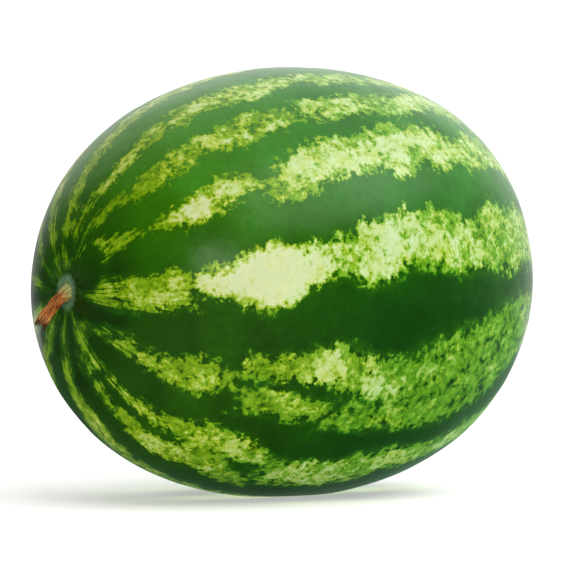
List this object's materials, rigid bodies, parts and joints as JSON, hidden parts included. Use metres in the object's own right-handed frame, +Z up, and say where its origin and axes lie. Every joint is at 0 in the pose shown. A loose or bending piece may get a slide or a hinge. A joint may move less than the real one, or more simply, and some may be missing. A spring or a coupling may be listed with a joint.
{
  "type": "watermelon",
  "caption": "Whole striped watermelon lying on its side on a small flat spot, with the short dried stub of its vine at one end.",
  "frame": {"origin": "the middle of the small flat spot on the underside that the fruit rests on", "axes": "+Z up; X along the fruit's long axis, with the stem end at -X and the blossom end at +X; Y across the fruit"},
  "size_m": [0.3196, 0.2508, 0.2489],
  "materials": {
    "rind": "waxy semi-gloss rind, dark green with broken, ragged-edged pale yellow-green stripes from end to end",
    "dried_vine": "dry, ridged and fibrous vine stub, orange-brown, darker and frayed at its tip"
  },
  "bodies": {
    "root": {"fruit": "rind", "stem": "dried_vine"}
  },
  "joints": []
}
